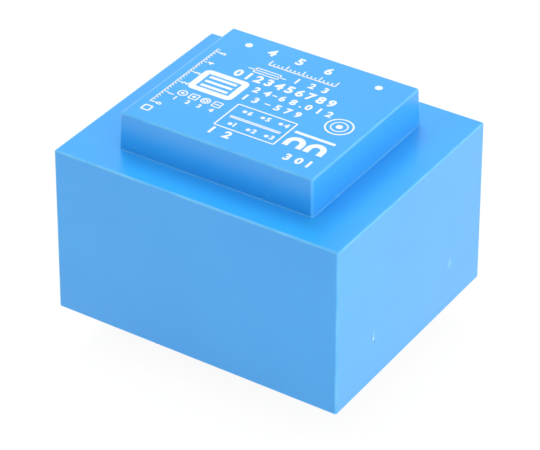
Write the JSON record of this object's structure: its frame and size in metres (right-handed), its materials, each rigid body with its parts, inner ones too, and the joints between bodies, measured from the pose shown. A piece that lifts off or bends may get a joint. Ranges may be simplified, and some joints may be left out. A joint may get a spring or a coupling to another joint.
{
  "type": "pcb transformer",
  "caption": "Encapsulated mains transformer for a circuit board: blue potted case with a raised platform on top and tinned solder pins below.",
  "frame": {"origin": "centre of the case's rim, in the plane that sits on the circuit board", "axes": "+X along the longer side of the case, -Y towards the primary pins, +Z away from the board; the solder pins lie below Z = 0"},
  "size_m": [0.051, 0.043, 0.0421],
  "materials": {
    "blue_moulding": "satin moulded plastic, sky blue, white print on the platform",
    "cast_resin": "cast potting resin, dull blue-grey, slightly uneven",
    "bobbin_plastic": "natural moulded plastic",
    "enamelled_copper": "enamelled copper wire",
    "winding_tape": "polyester tape, yellow",
    "core_steel": "annealed silicon steel sheet",
    "tinned_wire": "round wire, tinned, satin"
  },
  "bodies": {
    "root": {"case": "blue_moulding", "potting_resin": "cast_resin", "bobbin": "bobbin_plastic", "primary_winding": "enamelled_copper", "secondary_winding": "enamelled_copper", "primary_tape": "winding_tape", "secondary_tape": "winding_tape", "e_sheets_back_front": "core_steel", "i_sheets_rear": "core_steel", "e_sheets_back_rear": "core_steel", "i_sheets_front": "core_steel", "primary_pin_left": "tinned_wire", "primary_pin_right": "tinned_wire", "secondary_pin_left": "tinned_wire", "secondary_pin_right": "tinned_wire", "holding_pin_left": "tinned_wire", "holding_pin_right": "tinned_wire", "primary_lead_left": "enamelled_copper", "primary_lead_right": "enamelled_copper", "secondary_lead_left": "enamelled_copper", "secondary_lead_right": "enamelled_copper"}
  },
  "joints": []
}
